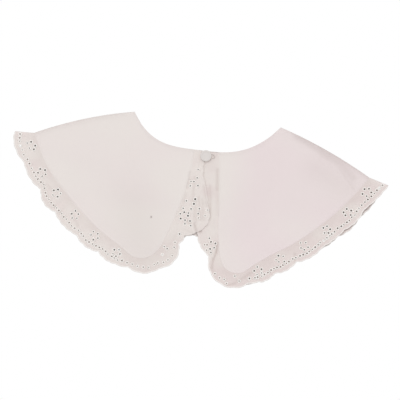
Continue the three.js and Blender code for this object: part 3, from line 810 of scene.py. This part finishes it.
def scallop_profile(table, share):
    """How far the lace stands out and lifts: straight between valleys, plus a sine swell to each crest."""
    rows = np.array(table, float)
    i = np.clip(np.searchsorted(rows[:, 0], share, side="right") - 1, 0, len(rows) - 2)
    t = np.clip((share - rows[i, 0]) / (rows[i + 1, 0] - rows[i, 0]), 0, 1)
    base = rows[i, 1] + (rows[i + 1, 1] - rows[i, 1]) * t
    swell = np.sin(math.pi * t) ** SCALLOP_FULLNESS
    return base + (rows[i, 2] - (rows[i, 1] + rows[i + 1, 1]) / 2) * swell, rows[i, 3] * swell


def lace_reach(strip, share):
    """How far the edging reaches in millimetres: its scallops, with small picots along them."""
    picots = PICOT_RISE * (np.abs(np.sin(math.pi * share * strip.edge.length / PICOT_LENGTH)) - 1)
    return scallop_profile(strip.scallops, share)[0] * strip.width + picots


def even_scallops(length):
    """Even scallops for a back edging, half a scallop at each end, narrow at the foot of the centre seam."""
    count = round(length / BACK_SCALLOP)
    share = np.clip((np.arange(count + 2) - 0.5) / count, 0, 1)
    grown = BACK_FOOT_SHARE + (1 - BACK_FOOT_SHARE) * ease(0, BACK_GROW_SHARE, share)
    return np.stack([share, BACK_VALLEY * grown, grown, 0 * share + BACK_LIFT, 0 * share + BOTH], -1)


def lace_way(side, edge, share):
    """The direction of the edging: square to the cloth edge, and swung along the fold at its end."""
    point, outward = edge.at(share)
    fold = np.array([side.hand, -side.tip_slope]) / math.hypot(1, side.tip_slope)
    t = ease(1 - FOLD_SWING / edge.length, 1, share)[..., None]
    way = outward * (1 - t) + fold * t
    return point, way / np.linalg.norm(way, axis=-1, keepdims=True)


def fold_fade(side, x, y):
    """Ruffles lie flat where the edging turns over the shoulder fold."""
    return ease(FOLD_TURN / 2, 2 * FOLD_TURN, top_edge(side, side.hand * x) - y)


def lace_height(strip, x, y, w, share, out):
    """Middle of an edging: the layer it is sewn to, its lap, its ruffle and gathers that grow outwards."""
    side = strip.side
    lift = scallop_profile(strip.scallops, share)[1]
    fade = fold_fade(side, x, y)
    along = share * strip.edge.length
    if strip.front:
        lap = side.lap * ease(0, LAP_RUN, out) * (1 - ease(LAP_END, LAP_END + LAP_FADE, share))
        gathers = GATHER_LOW + GATHER_GROWTH * ease(0.22, 0.38, share)
        gathers = gathers * wander(along / GATHER_LENGTH, side.seed + 5) * ease(1, 14, out) * fade
        tucked = SEAM_DIP * (1 - ease(0, 2.0, out))
        return front_height(side, x, y) + lap + lift * w * fade + gathers - tucked
    return back_height(side, x, y, BACK_LACE_LEVEL + lift * w * w * fade)


def lace_strip(side, layer):
    """What an edging is worked out from: its cloth edge, its scallops and its width."""
    front = layer == "front"
    settings = bpy.context.scene.collar_edging
    edge = edge_line(side, side.edge if front else side.back_edge)
    if front:
        scallops, width = np.array(side.scallops, float), settings.width / MM
    else:
        scallops, width = even_scallops(edge.length), settings.back_width / MM
    return SimpleNamespace(
        side=side, layer=layer, front=front, edge=edge, scallops=scallops, width=width)


def eyelet_places(strip):
    """Eyelets as shares of the edge, millimetres out and radii: an arc and a ring of five to a scallop."""
    settings = bpy.context.scene.collar_edging
    rng = np.random.default_rng(strip.side.seed + strip.front)
    rows = strip.scallops
    length = strip.edge.length
    shares, outs = [np.zeros(0)], [np.zeros(0)]
    for i, (start, end) in enumerate(zip(rows[:-1, 0], rows[1:, 0])):
        kind = rows[i, 4]
        if kind in (ARC, BOTH):
            count = max(3, round((end - start) * length / ARC_SPACING))
            t = (np.arange(count) + 0.5) / count
            arc = start + t * (end - start)
            out = scallop_profile(rows, arc)[0] * strip.width - ARC_INSET - ARC_BOW * np.sin(math.pi * t)
            wide = out > ARC_ROOM
            shares.append(arc[wide])
            outs.append(out[wide])
        centre = (start + end) / 2
        if kind in (BOTH, FLOWER) and scallop_profile(rows, centre)[0] * strip.width >= FLOWER_ROOM:
            angle = 2 * math.pi * np.arange(FLOWER_EYELETS) / FLOWER_EYELETS + i
            ring = settings.flower_radius / MM
            shares.append(centre + ring * np.cos(angle) / length)
            outs.append(FLOWER_OUT + ring * np.sin(angle))
    share, out = np.concatenate(shares), np.concatenate(outs)
    share = share + rng.normal(0, STRAY_ALONG, len(share)) / length
    out = out + rng.normal(0, STRAY_OUT, len(share))
    radius = settings.eyelet_radius / MM * rng.choice(HOLE_SIZES, len(share))
    if strip.front:
        own_share, own_out, own_radius = np.array(strip.side.eyelets).T
        share, out = np.concatenate([share, own_share]), np.concatenate([out, own_out])
        radius = np.concatenate([radius, THROAT_SCALE * own_radius])
    inside = (share * length > FOOT_ROOM) & (share * length < length - FOLD_ROOM)
    return share[inside], out[inside], radius[inside]


def over_floor(strip, centres):
    """Which eyelets have nothing but the floor under them: those beyond the reach of the back edging."""
    if not strip.front:
        return np.zeros(len(centres), bool)
    under = lace_strip(strip.side, "back")
    share = np.linspace(0, 1, 600)
    point, way = lace_way(strip.side, under.edge, share)
    nearest = distances(centres, point).argmin(-1)
    out = ((centres - point[nearest]) * way[nearest]).sum(-1)
    return out >= lace_reach(under, share[nearest]) - 1


def cut_eyelets(plan, centres, radius):
    """The cells of a grid outside every eyelet, and the grid with its cut corners drawn onto the circles."""
    cells = (plan[:-1, :-1] + plan[1:, :-1] + plan[1:, 1:] + plan[:-1, 1:]) / 4
    keep = (distances(cells, centres) > radius).all(-1)
    if keep.all():
        return keep, plan
    held = np.pad(keep, 1)
    corner = held[:-1, :-1].astype(int) + held[1:, :-1] + held[1:, 1:] + held[:-1, 1:]
    rim = (corner > 0) & (corner < 4)
    rim[0], rim[-1], rim[:, 0], rim[:, -1] = False, False, False, False
    nearest = distances(plan, centres).argmin(-1)
    ray = plan - centres[nearest]
    ray /= np.maximum(np.linalg.norm(ray, axis=-1, keepdims=True), 1e-9)
    return keep, np.where(rim[..., None], centres[nearest] + ray * radius[nearest][..., None], plan)


def edging_piece(strip, material):
    """An edging as a closed wall on a fine grid, its eyelets cut out, and those over the floor dotted with
    painted shade.
    """
    settings = bpy.context.scene.collar_edging
    side, edge = strip.side, strip.edge
    step = FRONT_STEP if strip.front else BACK_STEP
    stations, columns = round(edge.length / step), round(1.1 * strip.width / step)
    share, w = np.meshgrid(np.linspace(0, 1, stations), np.linspace(0, 1, columns), indexing="ij")
    out = w * (lace_reach(strip, share[:, :1]) + TUCK) - TUCK
    point, way = lace_way(side, edge, share[:, 0])
    plan = point[:, None] + way[:, None] * out[..., None]

    at_share, at_out, radius = eyelet_places(strip)
    base, lean = lace_way(side, edge, at_share)
    centres = base + lean * at_out[:, None]
    # Eyelets over the floor stay uncut and get a dot of painted shade, as dark as a hole over shade would
    # look.
    bare = over_floor(strip, centres)
    dots = bell(distances(plan, centres[bare]), PAINTED_DOT_SHADE, 0, DOT_SPREAD).max(-1, initial=0)
    keep, plan = cut_eyelets(plan, centres[~bare], radius[~bare])

    x, y = plan[..., 0], plan[..., 1]
    middle = np.stack([x, y, lace_height(strip, x, y, w, share, out)], -1)
    walls = both_faces(middle, np.full(x.shape, settings.thickness / MM))
    # Painted shade: the front edging darkens beside its seam, where the cloth's edge shades it, and along its
    # creases; the back edging is evenly darker, as it lies in the front layer's shade.
    if strip.front:
        seam = SEAM_SHADE * ease(0.3, 0.42, share)
        shade = bell(np.clip(out, 0, None), seam, 0, SEAM_FADE) + creases(side, x, y)[1]
    else:
        shade = BACK_LACE_SHADE + 0 * out
    cast = side.cast * (0.2 + 0.8 * ease(*LACE_CAST_RUN, share)) + LACE_DRIFT * rolling(x, y, 6, 24.0)
    faces = wall_faces(keep, grid_faces_up(middle))
    name = f"{side.name}_{strip.layer}_edging"
    piece = make_piece(name, walls, faces, material, tones(shade, cast, dots))
    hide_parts(f"{side.name}_{strip.layer}_lace")
    return piece, (centres, at_share, at_out, radius)


def rim_piece(strip, eyelets, material):
    """Satin-stitched eyelet rims: a flat ring for each eyelet, every ring's offsets added to every centre."""
    settings = bpy.context.scene.collar_edging
    centres, at_share, at_out, hole = eyelets
    around, section = 14, 5
    tube = settings.rim_width / MM / 2
    radius = (hole + RIM_OUTSET * tube)[:, None, None]
    theta = 2 * math.pi * np.arange(around) / around
    phi = math.pi * np.arange(section) / (section - 1)
    ring = radius + tube * np.cos(phi)
    x = centres[:, 0, None, None] + ring * np.cos(theta)[:, None]
    y = centres[:, 1, None, None] + ring * np.sin(theta)[:, None]
    share = at_share[:, None, None] + 0 * x
    out = at_out[:, None, None] + 0 * x
    reach = lace_reach(strip, share)
    z = lace_height(strip, x, y, np.clip(out / reach, 0, 1), share, out)
    z = z + settings.thickness / MM / 2 - RIM_SINK + RIM_RISE * tube * np.sin(phi)
    points = np.stack([x, y, z], -1)
    index = np.arange(len(centres) * around * section).reshape(len(centres), around, section)
    following = np.roll(index, -1, axis=1)
    nxt = np.roll(index, -1, axis=2)
    both = np.roll(following, -1, axis=2)
    faces = np.stack([index, following, both, nxt], -1).reshape(-1, 4)
    name = f"{strip.side.name}_{strip.layer}_eyelet_rims"
    uv = thread_run(theta[:, None] * radius, phi)
    return make_piece(name, points, faces, material, uv=uv)


def thread_run(run, turn):
    """Coordinates of a thread's surface: millimetres along its run, and the turn about it."""
    return np.stack(np.broadcast_arrays(run, turn), -1)


def carried(line, forward, radius, around, flatness=1.0):
    """A round profile carried along a line: a circle square to each point's forward direction."""
    forward = forward / np.linalg.norm(forward, axis=1)[:, None]
    aside = np.cross(forward, [0, 0, 1])
    aside /= np.maximum(np.linalg.norm(aside, axis=1), 1e-9)[:, None]
    rise = flatness * np.cross(aside, forward)
    phi = 2 * math.pi * np.arange(around) / around
    circle = aside[:, None] * np.cos(phi)[:, None] + rise[:, None] * np.sin(phi)[:, None]
    return line[:, None] + np.reshape(radius, (-1, 1, 1)) * circle, phi


def cord_piece(strip, material):
    """The corded scallop edge: a round profile carried along the outer edge of the lace."""
    settings = bpy.context.scene.collar_edging
    side, edge = strip.side, strip.edge
    stations, around = round(edge.length / CORD_STEP), 8
    share = np.linspace(0, 1, stations)
    reach = lace_reach(strip, share)
    radius = settings.cord_radius / MM
    point, way = lace_way(side, edge, share)
    plan = point + way * (reach - CORD_INSET * radius)[:, None]
    z = lace_height(strip, plan[:, 0], plan[:, 1], np.ones(stations), share, reach)
    line = np.column_stack([plan, np.maximum(z, radius + FLOOR_GAP)])
    along = share * edge.length
    ends = 0.15 + 0.85 * ease(0, 2.0, np.minimum(along, edge.length - along))
    gathered = 0.5 + 0.5 * ease(0.26, 0.32, share) if strip.front else 1.0
    forward = np.gradient(line, axis=0)
    points, phi = carried(line, forward, radius * ends * gathered, around, CORD_FLATNESS)
    faces = capped_faces(np.arange(stations * around).reshape(stations, around))
    name = f"{side.name}_{strip.layer}_scallop_cord"
    uv = thread_run(along[:, None], phi)
    return make_piece(name, points, faces, material, uv=uv)


# Closure

def lathe_piece(name, profile, centre, around, material):
    """A profile of radius and height turned round an upright axis, as a closed mesh with flat ends."""
    angle = 2 * math.pi * np.arange(around) / around
    radius, height = profile.T[..., None]
    x, y, z = radius * np.cos(angle), radius * np.sin(angle), height + 0 * angle
    points = np.stack([x, y, z], -1) + centre
    faces = capped_faces(np.arange(x.size).reshape(x.shape))
    return make_piece(name, points, faces, material, uv=thread_run(angle * radius.max(), z))


def rounded_profile(radius, thickness):
    """Half section of a dished button: flat back, rounded rim, and a shallow hollow in its face."""
    t = np.linspace(-math.pi / 2, math.pi / 2, 13)
    rim = thickness / 2
    edge = np.stack([radius - rim + rim * np.cos(t), rim + rim * np.sin(t)], -1)
    inner = np.linspace(0.8, 0.4, 9)
    dish = thickness * (1 - DISH * ease(0.78, 0.6, inner))
    return np.vstack([[(inner[-1] * radius, 0)], edge, np.stack([inner * radius, dish], -1)])


def tube_piece(name, line, radius, around, material):
    """A round thread: a circle carried along a closed line."""
    forward = np.roll(line, -1, axis=0) - np.roll(line, 1, axis=0)
    points, phi = carried(line, forward, radius, around)
    index = np.arange(len(line) * around).reshape(len(line), around)
    faces = ring_faces(np.vstack([index, index[:1]]))
    run = np.concatenate([[0], np.cumsum(np.linalg.norm(np.diff(line, axis=0), axis=1))])
    return make_piece(name, points, faces, material, uv=thread_run(run[:, None], phi))


# Settings

class CollarShape(bpy.types.PropertyGroup):
    """Sizes of the lobes"""

    left_reach: bpy.props.FloatProperty(
        name="Left reach", description="How far the left lobe's cloth reaches from the throat", default=0.171,
        unit="LENGTH")
    right_reach: bpy.props.FloatProperty(
        name="Right reach", description="How far the right lobe's cloth reaches from the throat",
        default=0.168, unit="LENGTH")
    left_depth: bpy.props.FloatProperty(
        name="Left depth", description="How far the left lobe's cloth hangs below the throat",
        default=0.1143, unit="LENGTH")
    right_depth: bpy.props.FloatProperty(
        name="Right depth", description="How far the right lobe's cloth hangs below the throat",
        default=0.1179, unit="LENGTH")


class CollarCloth(bpy.types.PropertyGroup):
    """The cloth of the lobes"""

    thickness: bpy.props.FloatProperty(
        name="Thickness", description="Thickness of the doubled cloth", default=0.0012, unit="LENGTH")
    thread_pitch: bpy.props.FloatProperty(
        name="Thread pitch", default=0.0005, unit="LENGTH",
        description="Spacing of the weave's threads, drawn coarser than the real 0.25 mm")
    colour: bpy.props.FloatVectorProperty(
        name="Colour", description="Main colour of the cloth", size=3, subtype="COLOR",
        default=linear("#f1eae5"))
    cast: bpy.props.FloatVectorProperty(
        name="Cast", description="Second tone that the cloth drifts to", size=3, subtype="COLOR",
        default=linear("#f0e3e3"))
    # The seam shade is painted shade: the cloth is darkened towards it at its edges, the fold and the
    # creases.
    shade: bpy.props.FloatVectorProperty(
        name="Seam shade", description="Colour of the cloth where its edges gather dust", size=3,
        subtype="COLOR", default=linear("#b9aaa6"))


class CollarEdging(bpy.types.PropertyGroup):
    """The eyelet edging"""

    width: bpy.props.FloatProperty(
        name="Front width", description="Width of the front edging at a full crest", default=0.022,
        unit="LENGTH")
    back_width: bpy.props.FloatProperty(
        name="Back width", description="Width of the back edging at a crest", default=0.0205, unit="LENGTH")
    thickness: bpy.props.FloatProperty(
        name="Thickness", description="Thickness of the edging's ground cloth", default=0.0006, unit="LENGTH")
    eyelet_radius: bpy.props.FloatProperty(
        name="Eyelet radius", description="Largest radius of a cut eyelet", default=0.00096, unit="LENGTH")
    flower_radius: bpy.props.FloatProperty(
        name="Flower radius", description="Radius of the ring that five eyelets stand on", default=0.0039,
        unit="LENGTH")
    rim_width: bpy.props.FloatProperty(
        name="Rim width", description="Width of the satin stitch round an eyelet", default=0.0013,
        unit="LENGTH")
    cord_radius: bpy.props.FloatProperty(
        name="Cord radius", description="Radius of the corded scallop edge", default=0.00055, unit="LENGTH")
    thread_pitch: bpy.props.FloatProperty(
        name="Thread pitch", default=0.0004, unit="LENGTH",
        description="Spacing of the ground's threads, drawn coarser than the real 0.2 mm")
    colour: bpy.props.FloatVectorProperty(
        name="Colour", description="Main colour of the edging", size=3, subtype="COLOR",
        default=linear("#f1e9e4"))
    cast: bpy.props.FloatVectorProperty(
        name="Cast", description="Second tone that the edging drifts to", size=3, subtype="COLOR",
        default=linear("#ecdfdc"))
    shade: bpy.props.FloatVectorProperty(
        name="Seam shade", description="Colour of the edging in the shade of its seam", size=3,
        subtype="COLOR", default=linear("#c6b7b1"))
    thread_colour: bpy.props.FloatVectorProperty(
        name="Thread colour", description="Colour of the embroidery thread", size=3, subtype="COLOR",
        default=linear("#fffcf9"))
    thread_tint: bpy.props.FloatVectorProperty(
        name="Thread tint", description="Second tone that the embroidery thread drifts to", size=3,
        subtype="COLOR", default=linear("#f9f2ed"))


class CollarButton(bpy.types.PropertyGroup):
    """The button at the throat"""

    diameter: bpy.props.FloatProperty(
        name="Diameter", description="Diameter of the button", default=0.0114, unit="LENGTH")
    thickness: bpy.props.FloatProperty(
        name="Thickness", description="Thickness of the button", default=0.0022, unit="LENGTH")
    colour: bpy.props.FloatVectorProperty(
        name="Colour", description="Main colour of the button", size=3, subtype="COLOR",
        default=linear("#dcd6d4"))
    cloud_colour: bpy.props.FloatVectorProperty(
        name="Cloud colour", description="Colour of the pearly clouds", size=3, subtype="COLOR",
        default=linear("#e4ddd8"))
    thread_colour: bpy.props.FloatVectorProperty(
        name="Thread colour", description="Colour of the loop's thread", size=3, subtype="COLOR",
        default=linear("#f3ece8"))
    thread_shade: bpy.props.FloatVectorProperty(
        name="Thread shade", description="Colour between the plies of the thread", size=3, subtype="COLOR",
        default=linear("#d3cbc6"))


class CollarStage(bpy.types.PropertyGroup):
    """The floor, light and camera"""

    floor_size: bpy.props.FloatProperty(
        name="Floor size", description="Side of the square floor", default=6.0, unit="LENGTH")
    view_width: bpy.props.FloatProperty(
        name="View width", description="Width that the camera takes in", default=0.4, unit="LENGTH")
    view_turn: bpy.props.FloatProperty(
        name="View turn", description="How far the camera is turned about the vertical",
        default=math.radians(7), subtype="ANGLE")
    sky: bpy.props.FloatProperty(
        name="Sky light", description="Strength of the light from all round", default=0.715)
    sun: bpy.props.FloatProperty(
        name="Window light", description="Strength of the soft light from one side", default=0.73)


# Operators

class COLLAR_OT_lobes(bpy.types.Operator):
    """Makes the four lobes of cloth, front and back, on both sides"""

    bl_idname = "collar.lobes"
    bl_label = "Cloth lobes"

    def execute(self, context):
        material = material_once(cotton_lawn, "washed_cotton_lawn", context.scene.collar_cloth)
        for side in collar_sides():
            front = lobe_piece(side, "front", material)
            back = lobe_piece(side, "back", material)
        return {"FINISHED"}


class COLLAR_OT_edging(bpy.types.Operator):
    """Makes the eyelet edging of every lobe, with its stitched eyelet rims and its corded scallops"""

    bl_idname = "collar.edging"
    bl_label = "Eyelet edging"

    def execute(self, context):
        settings = context.scene.collar_edging
        ground = material_once(eyelet_batiste, "embroidered_batiste", settings)
        stitch = material_once(satin_stitch, "satin_stitch_thread", settings)
        for side in collar_sides():
            for layer in ("front", "back"):
                strip = lace_strip(side, layer)
                piece, eyelets = edging_piece(strip, ground)
                rims = rim_piece(strip, eyelets, stitch)
                cord = cord_piece(strip, stitch)
        return {"FINISHED"}


class COLLAR_OT_button(bpy.types.Operator):
    """Makes the button, its shank of thread and the loop that holds it"""

    bl_idname = "collar.button"
    bl_label = "Button and loop"

    def execute(self, context):
        settings = context.scene.collar_button
        pearl = material_once(pearly_button, "cast_polyester_pearl", settings)
        thread = material_once(twisted_thread, "twisted_cotton_thread", settings)
        middle, half = solid_middle("button")
        profile = rounded_profile(settings.diameter / MM / 2, settings.thickness / MM)
        foot = (BUTTON_ASIDE, -BUTTON_BELOW, middle[2] - half[2])
        button = lathe_piece("pearl_button", profile, foot, 64, pearl)
        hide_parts("button")
        middle, half = solid_middle("button_shank")
        t = np.linspace(-1, 1, 9)
        profile = np.stack([SHANK_WAIST + SHANK_FLARE * t * t, (half[2] + SHANK_SEAT) * t], -1)
        waist = (BUTTON_ASIDE, -BUTTON_BELOW, middle[2])
        shank = lathe_piece("thread_shank", profile, waist, 20, thread)
        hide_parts("button_shank")
        middle, half = solid_middle("button_loop")
        centre, size = middle[:2] - throat(), half[:2] - LOOP_INSET
        angle = 2 * math.pi * np.arange(72) / 72
        line = np.stack([
            centre[0] + size[0] * np.cos(angle), centre[1] + size[1] * np.sin(angle),
            middle[2] - LOOP_DROP * ease(-0.2, 1, np.cos(angle)),
        ], -1)
        loop = tube_piece("thread_loop", line, LOOP_RADIUS, 10, thread)
        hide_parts("button_loop")
        return {"FINISHED"}


class COLLAR_OT_stage(bpy.types.Operator):
    """Makes the pale floor, the soft light and the camera straight above the collar"""

    bl_idname = "collar.stage"
    bl_label = "Stage"

    def execute(self, context):
        scene = context.scene
        settings = scene.collar_stage
        half = settings.floor_size / 2
        grid = np.linspace(-half, half, 5)
        x, y = np.meshgrid(grid, grid, indexing="ij")
        vertices = np.stack([x, y, np.full_like(x, FLOOR_LEVEL)], -1).reshape(-1, 3)
        at = np.arange(x.size).reshape(x.shape)
        faces = np.stack([at[:-1, :-1], at[1:, :-1], at[1:, 1:], at[:-1, 1:]], -1).reshape(-1, 4)
        mesh = bpy.data.meshes.new("floor")
        mesh.from_pydata(vertices.tolist(), [], faces.tolist())
        material = bpy.data.materials.new("lit_white_acrylic")
        material.use_nodes = True
        tree = material.node_tree
        tree.nodes.clear()
        # A white acrylic sheet lit from below, as for cut-outs: even white, with no shadow on it.
        glow = add(tree, "ShaderNodeEmission", None, {"Color": (1, 1, 1, 1), "Strength": 1.0})
        add(tree, "ShaderNodeOutputMaterial", None, {"Surface": glow.outputs["Emission"]})
        mesh.materials.append(material)
        floor = bpy.data.objects.new("floor", mesh)
        scene.collection.objects.link(floor)

        world = bpy.data.worlds.new("studio")
        world.use_nodes = True
        scene.world = world
        tree = world.node_tree
        tree.nodes.clear()
        sky = add(tree, "ShaderNodeBackground", None, {"Color": SKY_TINT, "Strength": settings.sky})
        add(tree, "ShaderNodeOutputWorld", None, {"Surface": sky.outputs["Background"]})

        window = bpy.data.lights.new("window", "SUN")
        window.energy = settings.sun
        window.angle = math.radians(WINDOW_BREADTH)
        light = bpy.data.objects.new("window", window)
        light.location = (0.5, 0.5, 1)
        light.rotation_euler = [math.radians(turn) for turn in WINDOW_TURN]
        scene.collection.objects.link(light)

        lens = bpy.data.cameras.new("camera")
        lens.type = "ORTHO"
        lens.ortho_scale = settings.view_width
        lens.clip_end = 10
        camera = bpy.data.objects.new("camera", lens)
        centre = (throat() + VIEW_CENTRE) * MM
        camera.location = (*centre, CAMERA_HEIGHT)
        camera.rotation_euler = (0, 0, settings.view_turn)
        scene.collection.objects.link(camera)
        scene.camera = camera
        scene.view_settings.view_transform = "Standard"
        return {"FINISHED"}


class COLLAR_PT_panel(bpy.types.Panel):
    """The collar's settings and its pieces"""

    bl_label = "Collar"
    bl_idname = "COLLAR_PT_panel"
    bl_space_type = "VIEW_3D"
    bl_region_type = "UI"
    bl_category = "Collar"

    def draw(self, context):
        for settings in SETTINGS:
            box = self.layout.box()
            group = getattr(context.scene, settings)
            for name in group.bl_rna.properties.keys():
                if name not in ("rna_type", "name"):
                    box.prop(group, name)
        for operator in OPERATORS:
            self.layout.operator(operator.bl_idname)


SETTINGS = {
    "collar_shape": CollarShape,
    "collar_cloth": CollarCloth,
    "collar_edging": CollarEdging,
    "collar_button": CollarButton,
    "collar_stage": CollarStage,
}
OPERATORS = (COLLAR_OT_lobes, COLLAR_OT_edging, COLLAR_OT_button, COLLAR_OT_stage)


def register():
    for name, group in SETTINGS.items():
        bpy.utils.register_class(group)
        setattr(bpy.types.Scene, name, bpy.props.PointerProperty(type=group))
    for operator in OPERATORS:
        bpy.utils.register_class(operator)
    bpy.utils.register_class(COLLAR_PT_panel)


def unregister():
    bpy.utils.unregister_class(COLLAR_PT_panel)
    for operator in reversed(OPERATORS):
        bpy.utils.unregister_class(operator)
    for name, group in reversed(SETTINGS.items()):
        delattr(bpy.types.Scene, name)
        bpy.utils.unregister_class(group)


def main():
    register()
    bpy.ops.collar.lobes()
    bpy.ops.collar.edging()
    bpy.ops.collar.button()
    bpy.ops.collar.stage()


if __name__ == "__main__":
    main()
